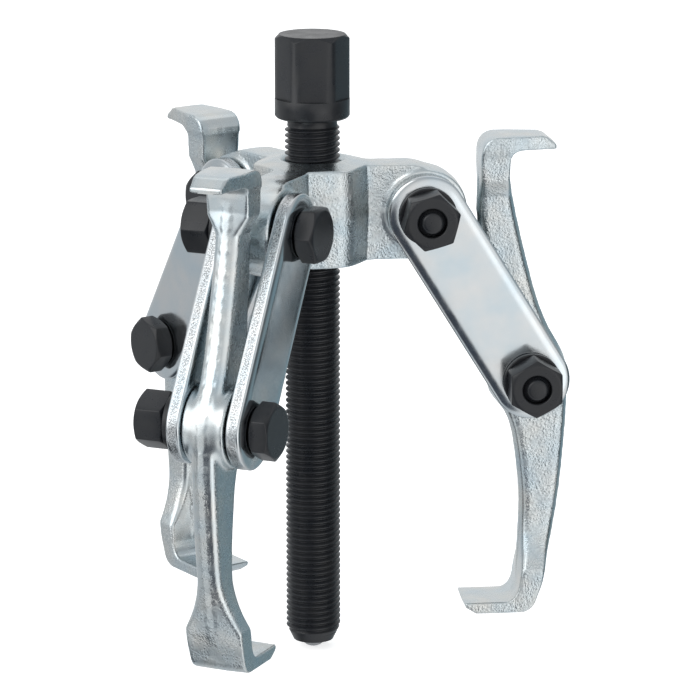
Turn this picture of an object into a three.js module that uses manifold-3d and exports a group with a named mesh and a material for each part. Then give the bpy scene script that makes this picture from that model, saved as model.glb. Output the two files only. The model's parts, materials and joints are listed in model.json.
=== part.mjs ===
// Three-jaw gear puller: a forged yoke with three arms, a forcing spindle with a live ball at its
// end, and on each arm a pair of straps that carries a double-ended jaw.
// Millimetres, +Z up. The origin is the centre of the hexagon's top face, on the spindle axis.
// Arm 1 points along +X. In an arm's own frame X is the distance from the spindle axis, the nuts
// are on the -Y side, the bolt heads are on the +Y side, and Z is up.

import * as THREE from 'three';
import { mergeVertices } from 'three/addons/utils/BufferGeometryUtils.js';
import Module from 'manifold-3d';

const wasm = await Module();
wasm.setup();

// ---- driving dimensions ----

const gap = 0.3; // clearance between pieces that touch or turn on each other
const armAzimuths = [0, -120, 120]; // degrees about the spindle axis
const roundSegments = 36; // facets round the spindle
const holeSegments = 20; // facets round a bolt or its hole

// forcing spindle: M14 x 1.5 with a 17 mm hexagon
const threadRadius = 7;
const hexAcrossFlats = 17;
const hexTurnedRadius = 9.55; // the hexagon's corners are turned down to this
const hexTopRadius = 8.55;
const hexFaceAzimuth = 26; // direction in which one face of the hexagon looks
const hexHeight = 16.3;
const headHeight = 21.3; // hexagon and round collar together
const collarRadius = 9.5;
const collarChamfer = 1.3;
const neckRadius = 6.4;
const neckHeight = 2;
const neckRunOut = 0.6; // height of the cone from the neck out to the thread
const spindleLength = 158.6;
const spindleEndRadius = 5.2;
const spindleLipRadius = 5.7; // where the end's steep edge meets its lead-in cone
const spindleLipHeight = 1.1;
const spindleEndChamfer = 3.7;
const ballRadius = 3.75;
const ballProtrusion = 2.2;

// yoke
const pivotHeight = -45.25; // height of the upper pivots, the middle of the yoke
const pivotRadius = 28.2; // distance of the upper pivots from the spindle axis
const yokeHalfHeight = 12.4;
const yokeBoreTop = 13.6; // the hub rises a little towards the bore
const hubFaceDistance = 14.5; // of the hub's flat wall faces from the axis
const hubFaceAzimuth = 32.5; // direction of those faces, either side of each arm
const hubCornerRadius = 5.6;
const yokeArmHalfWidth = 5.5;
const yokeEndRadius = 11;
const yokeSlopeStart = 26.3; // where the top and bottom edges start to slope to the round end

// straps
const strapLength = 51.25; // between its two holes
const strapEndRadius = 10;
const strapThickness = 4.5;
const strapAngle = 31.7; // from the vertical, at rest

// M8 bolts and nuts with 13 mm hexagons
const boltRadius = 4;
const boltHexAcrossFlats = 13;
const boltHeadHeight = 5.2;
const nutHeight = 7.9;
const washerRadius = 7.4;
const washerThickness = 1.6;
const boltOverhang = 0.5; // how far the bolt's end stands out of the nut
// angle of a hexagon corner from the arm's outward direction: upper bolt, lower bolt
const hexCornerAngles = [[75.6, 90], [0, 90], [20, 75]];

// jaws: outline in the jaw's own frame, X outwards and Y up from its pivot
const jawTilts = [0, 0, -1.6]; // degrees, positive turns the lower hook inwards
const jawEyeRadius = 10.2;
const jawWebHalfWidth = 3.4;
const jawEyeHalfWidth = 5.5;
const upperHookHalfWidth = 6.25;
const lowerHookHalfWidth = 7.8;
const upperHookHeight = 62.6;
const upperHookUnderside = 58.8;
const lowerHookFace = -59.5;
const lowerHookBottom = -62.8;

// ---- turning, extruding, cutting ----

const degrees = Math.PI / 180;
// corners of a faceted bolt hole, whose flats keep the gap to the bolt
const boltHoleReach = (boltRadius + gap) / Math.cos(Math.PI / holeSegments);

function solid(geometry) {
  const bare = geometry.clone();
  bare.deleteAttribute('normal');
  bare.deleteAttribute('uv');
  const merged = mergeVertices(bare, 1e-4);
  return new wasm.Manifold(new wasm.Mesh({
    numProp: 3,
    vertProperties: new Float32Array(merged.attributes.position.array),
    triVerts: new Uint32Array(merged.index.array),
  }));
}

function geometryOf(manifold) {
  const mesh = manifold.getMesh();
  const geometry = new THREE.BufferGeometry();
  geometry.setAttribute('position', new THREE.BufferAttribute(new Float32Array(mesh.vertProperties), 3));
  geometry.setIndex(new THREE.BufferAttribute(new Uint32Array(mesh.triVerts), 1));
  geometry.computeVertexNormals();
  return geometry;
}

// A profile of [radius, height] points, going up, turned about the Z axis.
function turned(profile, segments) {
  const points = profile.map(([radius, height]) => new THREE.Vector2(radius, height));
  return new THREE.LatheGeometry(points, segments).rotateX(Math.PI / 2);
}

// A round bar along Z. Its flats stay outside the radius when it is a cutter.
function bar(radius, bottom, top, segments) {
  return turned([[0, bottom], [radius, bottom], [radius, top], [0, top]], segments);
}

function boreCutter(radius, bottom, top, segments) {
  return bar(radius / Math.cos(Math.PI / segments), bottom, top, segments);
}

// A shape drawn in the arm's plane (X outwards, Y up), as thick as 2 * halfWidth across it.
function platesAcross(shape, halfWidth, curveSegments) {
  const options = { depth: 2 * halfWidth, bevelEnabled: false, curveSegments };
  return new THREE.ExtrudeGeometry(shape, options).translate(0, 0, -halfWidth).rotateX(Math.PI / 2);
}

// A hexagon with a corner on its X axis.
function hexagon(acrossFlats) {
  const shape = new THREE.Shape();
  const reach = acrossFlats / 2 / Math.cos(Math.PI / 6);
  for (let corner = 0; corner < 6; corner += 1) {
    const angle = corner * Math.PI / 3;
    const x = reach * Math.cos(angle);
    const y = reach * Math.sin(angle);
    if (corner === 0) {
      shape.moveTo(x, y);
    } else {
      shape.lineTo(x, y);
    }
  }
  shape.closePath();
  return shape;
}

// ---- materials ----

function steel(color, roughness, metalness) {
  return () => new THREE.MeshStandardMaterial({ color, roughness, metalness });
}

const forgedZinc = steel(0xb4b9bd, 0.45, 0.9);
const stampedZinc = steel(0xbec5ca, 0.32, 0.95);
const blackOxide = steel(0x26282b, 0.42, 0.8);
const brightSteel = steel(0x8d9195, 0.25, 1);

function piece(name, geometry, material) {
  const mesh = new THREE.Mesh(geometry, material());
  mesh.name = name;
  return mesh;
}

// ---- spindle and ball ----

function spindleGeometry() {
  const end = -spindleLength;
  const neckTop = -headHeight;
  const neckBottom = neckTop - neckHeight;
  const shaft = turned([
    [0, end],
    [spindleEndRadius, end],
    [spindleLipRadius, end + spindleLipHeight],
    [threadRadius, end + spindleEndChamfer],
    [threadRadius, neckBottom - neckRunOut],
    [neckRadius, neckBottom],
    [neckRadius, neckTop],
    [collarRadius - collarChamfer, neckTop],
    [collarRadius, neckTop + collarChamfer],
    [collarRadius, -hexHeight],
    [0, -hexHeight],
  ], roundSegments);
  const prism = new THREE.ExtrudeGeometry(hexagon(hexAcrossFlats), {
    depth: hexHeight + 1,
    bevelEnabled: false,
  }).translate(0, 0, -hexHeight - 1);
  const topChamfer = hexTurnedRadius - hexTopRadius;
  const barrel = turned([
    [0, -hexHeight - 1],
    [hexTurnedRadius, -hexHeight - 1],
    [hexTurnedRadius, -topChamfer],
    [hexTopRadius, 0],
    [0, 0],
  ], roundSegments);
  const socket = new THREE.SphereGeometry(ballRadius + gap, 18, 12).rotateX(Math.PI / 2);
  socket.translate(0, 0, end - ballProtrusion + ballRadius);
  const body = solid(shaft).add(solid(prism).intersect(solid(barrel)));
  // the hexagon is drawn with a corner towards +X, 30 degrees from its faces
  return geometryOf(body.subtract(solid(socket))).rotateZ((hexFaceAzimuth + 30) * degrees);
}

function ballGeometry() {
  const ball = new THREE.SphereGeometry(ballRadius, 18, 12).rotateX(Math.PI / 2);
  return ball.translate(0, 0, -spindleLength - ballProtrusion + ballRadius);
}

// ---- yoke ----

// Side profile of the yoke, turned about the spindle axis: the same for hub and arms.
function yokeSide() {
  const steps = 8;
  const startAngle = 64 * degrees;
  const hubFlat = hubFaceDistance * 0.6;
  const profile = [[0, -yokeBoreTop], [hubFlat, -yokeBoreTop], [hubFaceDistance, -yokeHalfHeight]];
  profile.push([yokeSlopeStart, -yokeHalfHeight]);
  for (let step = 0; step <= steps; step += 1) {
    const angle = startAngle * (2 * step / steps - 1);
    profile.push([
      pivotRadius + yokeEndRadius * Math.cos(angle),
      yokeEndRadius * Math.sin(angle),
    ]);
  }
  profile.push([yokeSlopeStart, yokeHalfHeight], [hubFaceDistance, yokeHalfHeight]);
  profile.push([hubFlat, yokeBoreTop], [0, yokeBoreTop]);
  return turned(profile, 72);
}

// Plan of the yoke: three parallel-sided arms, and between each two of them a hub wall of two
// flat faces that meet in a rounded corner.
function yokePlan() {
  const shape = new THREE.Shape();
  const faceTurn = hubFaceAzimuth * degrees;
  const armRoot = (hubFaceDistance - yokeArmHalfWidth * Math.sin(faceTurn)) / Math.cos(faceTurn);
  const armEnd = pivotRadius + 2 * yokeEndRadius;
  const cornerReach = (hubFaceDistance - hubCornerRadius) / Math.cos(Math.PI / 3 - faceTurn);
  for (const azimuth of [0, 120, 240]) {
    const turn = azimuth * degrees;
    const place = (x, y) => [
      x * Math.cos(turn) - y * Math.sin(turn),
      x * Math.sin(turn) + y * Math.cos(turn),
    ];
    const root = place(armRoot, -yokeArmHalfWidth);
    if (azimuth === 0) {
      shape.moveTo(...root);
    } else {
      shape.lineTo(...root);
    }
    shape.lineTo(...place(armEnd, -yokeArmHalfWidth));
    shape.lineTo(...place(armEnd, yokeArmHalfWidth));
    shape.lineTo(...place(armRoot, yokeArmHalfWidth));
    const corner = place(cornerReach * Math.cos(Math.PI / 3), cornerReach * Math.sin(Math.PI / 3));
    const lastTurn = turn + 2 * Math.PI / 3 - faceTurn;
    shape.absarc(...corner, hubCornerRadius, turn + faceTurn, lastTurn, false);
  }
  return shape;
}

function yokeGeometry() {
  const height = 4 * yokeHalfHeight;
  const plan = new THREE.ExtrudeGeometry(yokePlan(), {
    depth: height,
    bevelEnabled: false,
    curveSegments: 6,
  }).translate(0, 0, -height / 2);
  let body = solid(plan).intersect(solid(yokeSide()));
  body = body.subtract(solid(boreCutter(threadRadius + gap, -height, height, roundSegments)));
  for (const azimuth of armAzimuths) {
    const reach = 2 * yokeArmHalfWidth;
    const hole = boreCutter(boltRadius + gap, -reach, reach, holeSegments);
    hole.rotateX(Math.PI / 2).translate(pivotRadius, 0, 0).rotateZ(azimuth * degrees);
    body = body.subtract(solid(hole));
  }
  return geometryOf(body);
}

// ---- straps, bolts, nuts and washers, all around a pivot at their own origin ----

function strapGeometry() {
  const shape = new THREE.Shape();
  shape.absarc(0, 0, strapEndRadius, 0, Math.PI, false);
  shape.absarc(0, -strapLength, strapEndRadius, Math.PI, 2 * Math.PI, false);
  shape.closePath();
  for (const height of [0, -strapLength]) {
    const hole = new THREE.Path();
    hole.absarc(0, height, boltHoleReach, 0, 2 * Math.PI, true);
    shape.holes.push(hole);
  }
  return platesAcross(shape, strapThickness / 2, holeSegments / 2);
}

// Where things start along the bolt, measured from the arm's middle plane.
const strapInside = yokeArmHalfWidth + gap;
const strapOutside = strapInside + strapThickness;
const washerInside = strapOutside + gap;
const nutInside = washerInside + washerThickness + gap;
const nutOutside = nutInside + nutHeight;

// A hexagon with turned-off corners. It lies on Z = 0 and is chamfered at the top, or at both ends.
function hexBlank(height, chamferBoth) {
  const reach = boltHexAcrossFlats / 2 / Math.cos(Math.PI / 6);
  const faceRadius = boltHexAcrossFlats / 2 - 0.1;
  const drop = (reach - faceRadius) * Math.tan(28 * degrees);
  const prism = new THREE.ExtrudeGeometry(hexagon(boltHexAcrossFlats), {
    depth: height,
    bevelEnabled: false,
  });
  const barrel = turned([
    [0, 0],
    [chamferBoth ? faceRadius : reach + 0.1, 0],
    [reach + 0.1, chamferBoth ? drop : height / 2],
    [reach + 0.1, height - drop],
    [faceRadius, height],
    [0, height],
  ], 24);
  return solid(prism).intersect(solid(barrel));
}

// The bolt lies along Y: head on the +Y side, end on the -Y side.
function boltGeometry(cornerAngle) {
  const headStart = strapOutside + gap;
  const tip = nutOutside + boltOverhang;
  const shank = turned([
    [0, -tip],
    [boltRadius - 0.9, -tip],
    [boltRadius, -tip + 0.6],
    [boltRadius, headStart + 0.5],
    [0, headStart + 0.5],
  ], holeSegments);
  const head = hexBlank(boltHeadHeight, false).translate([0, 0, headStart]);
  return geometryOf(solid(shank).add(head)).rotateZ(-cornerAngle * degrees).rotateX(-Math.PI / 2);
}

function nutGeometry(cornerAngle) {
  const hole = solid(boreCutter(boltRadius + gap, -1, nutHeight + 1, holeSegments));
  const nut = geometryOf(hexBlank(nutHeight, true).subtract(hole));
  return nut.rotateZ(cornerAngle * degrees).rotateX(Math.PI / 2).translate(0, -nutInside, 0);
}

function washerGeometry() {
  return turned([
    [boltHoleReach, 0],
    [washerRadius, 0],
    [washerRadius, washerThickness],
    [boltHoleReach, washerThickness],
    [boltHoleReach, 0],
  ], holeSegments).rotateX(Math.PI / 2).translate(0, -washerInside, 0);
}

// ---- jaws ----

function jawOutline() {
  const shape = new THREE.Shape();
  const point = (x, y) => new THREE.Vector2(x, y);
  shape.moveTo(6.8, upperHookHeight - 2.5);
  // top of the upper hook, then down the inner edge to the eye
  shape.lineTo(4.2, upperHookHeight - 0.4);
  shape.lineTo(2.8, upperHookHeight);
  shape.lineTo(-8.6, upperHookHeight);
  shape.quadraticCurveTo(-12.4, upperHookHeight - 0.6, -12.7, 57.8);
  shape.lineTo(-12.9, 43);
  shape.splineThru([point(-11.5, 30), point(-10.3, 16), point(-jawEyeRadius + 0.1, 2)]);
  shape.absarc(0, 0, jawEyeRadius, Math.PI, 1.16 * Math.PI, false);
  // inner edge below the eye, and the lower hook
  shape.splineThru([point(-4.4, -12), point(-2.3, -22.3), point(-1.3, -36), point(-2.4, -54)]);
  shape.quadraticCurveTo(-3.2, lowerHookFace, -7, lowerHookFace);
  shape.lineTo(-16.6, lowerHookFace);
  shape.lineTo(-16.2, -61);
  shape.lineTo(-13.4, lowerHookBottom);
  shape.lineTo(-1.4, lowerHookBottom);
  shape.quadraticCurveTo(1.2, -62.4, 2.2, -60);
  // outer edge up past the eye to the upper hook's throat
  shape.splineThru([point(5.4, -50), point(8.4, -32.4), point(10, -14.7), point(10.4, -5)]);
  shape.splineThru([point(9.2, 4.6), point(4.9, 13), point(1.8, 21.3), point(-1.6, 34.3)]);
  shape.splineThru([point(-3.8, 44.3), point(-5.1, 52.3)]);
  shape.lineTo(-5.1, 55.6);
  shape.quadraticCurveTo(-5, upperHookUnderside, -1.8, upperHookUnderside);
  shape.lineTo(6.8, upperHookUnderside);
  shape.closePath();
  return shape;
}

// Half width of the jaw across its plane: wide hooks, a narrow web between them.
function jawWidth() {
  const shape = new THREE.Shape();
  const top = upperHookHeight + 1;
  const bottom = lowerHookBottom - 1;
  shape.moveTo(upperHookHalfWidth, top);
  shape.lineTo(-upperHookHalfWidth, top);
  shape.lineTo(-upperHookHalfWidth, 52);
  shape.quadraticCurveTo(-upperHookHalfWidth, 46.5, -jawWebHalfWidth, 43);
  shape.lineTo(-jawWebHalfWidth, -37);
  shape.quadraticCurveTo(-jawWebHalfWidth - 0.4, -45, -lowerHookHalfWidth, -51.5);
  shape.lineTo(-lowerHookHalfWidth, bottom);
  shape.lineTo(lowerHookHalfWidth, bottom);
  shape.lineTo(lowerHookHalfWidth, -51.5);
  shape.quadraticCurveTo(jawWebHalfWidth + 0.4, -45, jawWebHalfWidth, -37);
  shape.lineTo(jawWebHalfWidth, 43);
  shape.quadraticCurveTo(upperHookHalfWidth, 46.5, upperHookHalfWidth, 52);
  shape.closePath();
  return shape;
}

function jawGeometry() {
  const outline = platesAcross(jawOutline(), lowerHookHalfWidth + 1, 4);
  const reach = 30;
  const width = new THREE.ExtrudeGeometry(jawWidth(), {
    depth: 2 * reach,
    bevelEnabled: false,
    curveSegments: 4,
  }).translate(0, 0, -reach);
  // turn the width shape's X to Y, its Y to Z and its depth to X
  width.applyMatrix4(new THREE.Matrix4().makeBasis(
    new THREE.Vector3(0, 1, 0),
    new THREE.Vector3(0, 0, 1),
    new THREE.Vector3(1, 0, 0),
  ));
  const eye = bar(jawEyeRadius - 0.4, -jawEyeHalfWidth, jawEyeHalfWidth, 32).rotateX(Math.PI / 2);
  const hole = boreCutter(boltRadius + gap, -10, 10, holeSegments).rotateX(Math.PI / 2);
  const body = solid(outline).intersect(solid(width)).add(solid(eye));
  return geometryOf(body.subtract(solid(hole)));
}

// ---- assembly ----

function placed(mesh, x, y, z) {
  mesh.position.set(x, y, z);
  return mesh;
}

// Straps and both sets of fasteners hang from the upper pivot, straight down at strapAngle 0.
function link(number) {
  const group = new THREE.Group();
  const strapMiddle = (strapInside + strapOutside) / 2;
  const [upperCorner, lowerCorner] = hexCornerAngles[number - 1];
  group.add(placed(piece(`strap_${number}_nut_side`, strapGeometry(), stampedZinc), 0, -strapMiddle, 0));
  group.add(placed(piece(`strap_${number}_head_side`, strapGeometry(), stampedZinc), 0, strapMiddle, 0));
  const pivots = [['upper', 0, upperCorner], ['lower', -strapLength, lowerCorner]];
  for (const [level, height, corner] of pivots) {
    // the corner angles are those seen when the strap stands at strapAngle
    const angle = corner - strapAngle;
    group.add(placed(piece(`${level}_bolt_${number}`, boltGeometry(angle), blackOxide), 0, 0, height));
    group.add(placed(piece(`${level}_nut_${number}`, nutGeometry(angle), blackOxide), 0, 0, height));
    group.add(placed(piece(`${level}_washer_${number}`, washerGeometry(), blackOxide), 0, 0, height));
  }
  group.position.set(pivotRadius, 0, 0);
  group.rotation.y = -strapAngle * degrees;
  return group;
}

function jaw(number) {
  const mesh = piece(`jaw_${number}`, jawGeometry(), forgedZinc);
  const lean = strapAngle * degrees;
  mesh.position.set(
    pivotRadius + strapLength * Math.sin(lean),
    0,
    -strapLength * Math.cos(lean),
  );
  mesh.rotation.y = jawTilts[number - 1] * degrees;
  return mesh;
}

const puller = new THREE.Group();
puller.add(piece('spindle', spindleGeometry(), blackOxide));
puller.add(piece('thrust_ball', ballGeometry(), brightSteel));
puller.add(placed(piece('yoke', yokeGeometry(), forgedZinc), 0, 0, pivotHeight));
armAzimuths.forEach((azimuth, index) => {
  const arm = new THREE.Group();
  arm.add(link(index + 1));
  arm.add(jaw(index + 1));
  arm.position.set(0, 0, pivotHeight);
  arm.rotation.z = azimuth * degrees;
  puller.add(arm);
});

export default puller;
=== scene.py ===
"""Three-jaw gear puller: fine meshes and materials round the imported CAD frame.

Lengths are in millimetres inside the mesh code and become metres when a mesh is made.
"""
import json
import math

import bmesh
import bpy
import numpy as np
from mathutils import Matrix, Vector, geometry, noise


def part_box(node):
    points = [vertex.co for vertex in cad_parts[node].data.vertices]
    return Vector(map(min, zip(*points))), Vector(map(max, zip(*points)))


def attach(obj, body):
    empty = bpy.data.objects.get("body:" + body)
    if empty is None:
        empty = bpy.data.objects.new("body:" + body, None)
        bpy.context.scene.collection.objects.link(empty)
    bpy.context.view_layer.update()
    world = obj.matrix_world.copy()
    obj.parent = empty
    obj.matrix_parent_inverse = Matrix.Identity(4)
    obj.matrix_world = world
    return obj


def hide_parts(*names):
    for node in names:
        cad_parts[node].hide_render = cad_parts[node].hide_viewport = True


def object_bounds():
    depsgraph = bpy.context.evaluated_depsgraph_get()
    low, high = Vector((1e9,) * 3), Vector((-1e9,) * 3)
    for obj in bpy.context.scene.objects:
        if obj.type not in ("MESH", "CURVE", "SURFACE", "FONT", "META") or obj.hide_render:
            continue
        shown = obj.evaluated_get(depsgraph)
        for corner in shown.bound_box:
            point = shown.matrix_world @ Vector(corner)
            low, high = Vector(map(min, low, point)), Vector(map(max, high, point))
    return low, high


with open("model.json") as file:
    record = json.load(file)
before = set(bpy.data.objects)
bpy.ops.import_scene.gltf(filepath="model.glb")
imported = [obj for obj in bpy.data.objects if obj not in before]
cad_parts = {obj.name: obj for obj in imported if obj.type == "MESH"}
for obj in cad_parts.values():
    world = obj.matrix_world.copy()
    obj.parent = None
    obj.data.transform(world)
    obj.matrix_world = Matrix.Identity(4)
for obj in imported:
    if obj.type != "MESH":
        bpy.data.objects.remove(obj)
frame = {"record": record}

CAD_BOX = [list(corner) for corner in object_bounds()]
MM = 0.001
RECORD = frame["record"]
JOINTS = {joint["name"]: joint for joint in RECORD["behaviour"]["joints"]}
MOUNTS = {mount["name"]: mount for mount in RECORD["mounts"]}
BODY_OF = {node: body for body, nodes in RECORD["behaviour"]["bodies"].items() for node in nodes}
SLOT_OF = {part["node"]: part["material_slot"] for part in RECORD["subparts"]}
ARMS = (1, 2, 3)


# ---- camera, light and floor ----

VIEW_AZIMUTH = math.radians(-6.04)
VIEW_ELEVATION = math.radians(13.36)
VIEW_DISTANCE = 1019.0
VIEW_LENS = 204.65
AIM_RIGHT = 9.52  # where the camera aims, right of the spindle axis
AIM_HEIGHT = -81.76  # and below the hexagon's top face


def direction(azimuth, elevation):
    """The way from the object to a viewer at that azimuth and elevation."""
    level = math.cos(elevation)
    return Vector((math.sin(azimuth) * level, -math.cos(azimuth) * level, math.sin(elevation)))


def make_camera():
    right = Vector((math.cos(VIEW_AZIMUTH), math.sin(VIEW_AZIMUTH), 0))
    aim = right * AIM_RIGHT + Vector((0, 0, AIM_HEIGHT))
    towards = direction(VIEW_AZIMUTH, VIEW_ELEVATION)
    data = bpy.data.cameras.new("camera")
    data.lens = VIEW_LENS
    data.sensor_width = 36
    data.clip_end = 20
    camera = bpy.data.objects.new("camera", data)
    camera.location = (aim + towards * VIEW_DISTANCE) * MM
    camera.rotation_euler = (-towards).to_track_quat("-Z", "Y").to_euler()
    bpy.context.scene.collection.objects.link(camera)
    bpy.context.scene.camera = camera


def softbox(name, azimuth, elevation, distance, size, power):
    """A rectangular lamp that looks at the object's middle. Angles in degrees, the rest in metres."""
    data = bpy.data.lights.new(name, "AREA")
    data.shape = "RECTANGLE"
    data.size, data.size_y = size
    data.energy = power
    light = bpy.data.objects.new(name, data)
    away = direction(math.radians(azimuth), math.radians(elevation))
    middle = Vector((0, 0, AIM_HEIGHT * MM))
    light.location = middle + away * distance
    light.rotation_euler = (-away).to_track_quat("-Z", "Y").to_euler()
    bpy.context.scene.collection.objects.link(light)


def make_lights():
    softbox("key_softbox", -48, 36, 1.1, (0.8, 0.8), 2.0)
    softbox("top_softbox", 170, 70, 1.2, (1.2, 0.8), 1.2)


# The studio as the metal sees it. Each panel is a soft disc of the sky: its middle's azimuth and
# elevation, the half angles where it starts to fade and has faded out, all in degrees, and its
# colour. A later panel lies over an earlier one.
STUDIO_BASE = (0.60, 0.62, 0.64)
STUDIO_PANELS = (
    (40, -72, 14, 36, (0.84, 0.86, 0.88)),  # the floor under the object
    (178, 16, 18, 55, (0.86, 0.87, 0.88)),  # the back wall
    (26, -12, 24, 58, (1.10, 1.10, 1.10)),  # the front wall, right of the camera
    (28, -10, 7, 17, (1.7, 1.7, 1.7)),  # a lamp in front of it
    (-21, -24, 17, 25, (0.06, 0.07, 0.09)),  # a dark flag, left of the camera
    (-60, -34, 12, 22, (0.92, 0.93, 0.94)),  # the floor on the left
    (-98, -50, 10, 22, (0.05, 0.06, 0.07)),  # a dark gap in it
    (-72, 18, 14, 34, (1.9, 1.9, 1.9)),  # the main lamp, on the left
    (-45, 40, 8, 26, (1.2, 1.2, 1.2)),  # its upper half
    (121, -10, 16, 44, (0.25, 0.34, 0.38)),  # the far right, dim and bluish
    (76, -8, 12, 27, (0.08, 0.10, 0.11)),  # a dark flag on the right
    (-84, -10, 5, 16, (0.2, 0.22, 0.24)),  # the main lamp's stand
)


def make_world():
    """A soft studio: pale all round, with brighter panels and dimmer gaps."""
    world = bpy.data.worlds.new("soft_studio")
    world.use_nodes = True
    tree = world.node_tree
    where = tree.nodes.new("ShaderNodeTexCoord").outputs["Generated"]
    color = None
    for azimuth, elevation, inner, outer, tone in STUDIO_PANELS:
        facing = tree.nodes.new("ShaderNodeVectorMath")
        facing.operation = "DOT_PRODUCT"
        facing.inputs[1].default_value = direction(math.radians(azimuth), math.radians(elevation))
        tree.links.new(where, facing.inputs[0])
        edge = tree.nodes.new("ShaderNodeMapRange")
        edge.interpolation_type = "SMOOTHSTEP"
        edge.inputs["From Min"].default_value = math.cos(math.radians(outer))
        edge.inputs["From Max"].default_value = math.cos(math.radians(inner))
        tree.links.new(facing.outputs["Value"], edge.inputs["Value"])
        mix = tree.nodes.new("ShaderNodeMixRGB")
        mix.inputs["Color2"].default_value = (*tone, 1)
        tree.links.new(edge.outputs["Result"], mix.inputs["Fac"])
        if color:
            tree.links.new(color, mix.inputs["Color1"])
        else:
            mix.inputs["Color1"].default_value = (*STUDIO_BASE, 1)
        color = mix.outputs["Color"]
    tree.links.new(color, tree.nodes["Background"].inputs["Color"])
    bpy.context.scene.world = world
    bpy.context.scene.view_settings.view_transform = "Standard"


FLOOR_FLAT = 2.6  # radius of its flat part, in metres
FLOOR_BEND = 0.8  # radius of the curve up to the wall
WALL_HEIGHT = 3.0


def make_floor():
    """A round pale sweep: flat under the object, curving up to a wall all round it."""
    level = CAD_BOX[0][2]
    profile = [(0.02, level), (0.6, level), (FLOOR_FLAT, level)]
    bend_steps = 12
    for step in range(1, bend_steps + 1):
        angle = math.radians(90 * step / bend_steps)
        radius = FLOOR_FLAT + FLOOR_BEND * math.sin(angle)
        profile.append((radius, level + FLOOR_BEND * (1 - math.cos(angle))))
    profile.append((FLOOR_FLAT + FLOOR_BEND, level + WALL_HEIGHT))
    angles = even_angles(64)
    sweep = Rings()
    made = sweep.stack(turned_rings(profile, angles))
    sweep.close(made[0], (0, 0, level), False)
    mesh = bpy.data.meshes.new("floor")
    verts = [tuple(map(float, vert)) for vert in sweep.verts]
    mesh.from_pydata(verts, [], [face[::-1] for face in sweep.faces])
    mesh.polygons.foreach_set("use_smooth", [True] * len(mesh.polygons))
    floor = bpy.data.objects.new("floor", mesh)
    bpy.context.scene.collection.objects.link(floor)
    # the studio's panels stand for the room in the metal, so the floor and wall stay out of it
    floor.visible_glossy = False
    floor.visible_diffuse = False
    floor.visible_shadow = False
    material = bpy.data.materials.new("pale_floor")
    material.use_nodes = True
    shader = material.node_tree.nodes["Principled BSDF"]
    shader.inputs["Base Color"].default_value = (0.9, 0.9, 0.9, 1)
    shader.inputs["Roughness"].default_value = 0.7
    shader.inputs["Specular IOR Level"].default_value = 0.1
    shader.inputs["Emission Color"].default_value = (1, 1, 1, 1)
    shader.inputs["Emission Strength"].default_value = 0.62
    mesh.materials.append(material)


# ---- materials ----

# painted shade: the dark colour laid into the hollows of pebbled and torn zinc, where shade falls
HOLLOW_SHADE_COLOR = (0.05, 0.055, 0.06, 1)
MIX_A, MIX_B, MIX_RESULT = 6, 7, 2  # a Mix node's sockets for colours


def node(tree, kind, **inputs):
    """A new node with some of its inputs set."""
    made = tree.nodes.new(kind)
    for name, value in inputs.items():
        made.inputs[name.replace("_", " ")].default_value = value
    return made


def noise_at(tree, where, size_mm, detail=2.0, roughness=0.5):
    """Noise with features of about size_mm."""
    scale = 1 / (size_mm * MM)
    made = node(tree, "ShaderNodeTexNoise", Scale=scale, Detail=detail, Roughness=roughness)
    tree.links.new(where, made.inputs["Vector"])
    return made.outputs["Fac"]


def ramp_between(tree, value, low, high):
    """A value of 0..1 turned into a colour, or a grey, between low and high."""
    ramp = tree.nodes.new("ShaderNodeValToRGB")
    for element, position, end in zip(ramp.color_ramp.elements, (0.3, 0.7), (low, high)):
        element.position = position
        element.color = (*end, 1) if isinstance(end, tuple) else (end, end, end, 1)
    tree.links.new(value, ramp.inputs["Fac"])
    return ramp.outputs["Color"]


def painted_hollow_shade(tree, color, height, depth, skin):
    """Painted shade: darkens a colour in the hollows of a height, where shade would fall, by depth where
    skin is 1.
    """
    ends = {"From Min": 0.42, "From Max": 0.56, "To Min": depth, "To Max": 0.0}
    # how much painted shade: full depth deep in a hollow, none on a crest
    hollow_shade = node(tree, "ShaderNodeMapRange", **ends)
    tree.links.new(height, hollow_shade.inputs["Value"])
    share = tree.nodes.new("ShaderNodeMath")
    share.operation = "MULTIPLY"
    tree.links.new(hollow_shade.outputs["Result"], share.inputs[0])
    tree.links.new(skin, share.inputs[1])
    mix = tree.nodes.new("ShaderNodeMix")
    mix.data_type = "RGBA"
    tree.links.new(share.outputs["Value"], mix.inputs["Factor"])
    tree.links.new(color, mix.inputs[MIX_A])
    mix.inputs[MIX_B].default_value = HOLLOW_SHADE_COLOR
    return mix.outputs[MIX_RESULT]


def bump(tree, height, depth_mm, strength, under=None):
    """A bumped normal. strength is a number or a socket, under a normal that it is added to."""
    made = node(tree, "ShaderNodeBump", Distance=depth_mm * MM)
    if isinstance(strength, float):
        made.inputs["Strength"].default_value = strength
    else:
        tree.links.new(strength, made.inputs["Strength"])
    tree.links.new(height, made.inputs["Height"])
    if under:
        tree.links.new(under, made.inputs["Normal"])
    return made.outputs["Normal"]


def new_material(name):
    """A material with its node tree, its shader and its object coordinates."""
    material = bpy.data.materials.new(name)
    material.use_nodes = True
    tree = material.node_tree
    where = tree.nodes.new("ShaderNodeTexCoord").outputs["Object"]
    return material, tree, tree.nodes["Principled BSDF"], where


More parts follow.
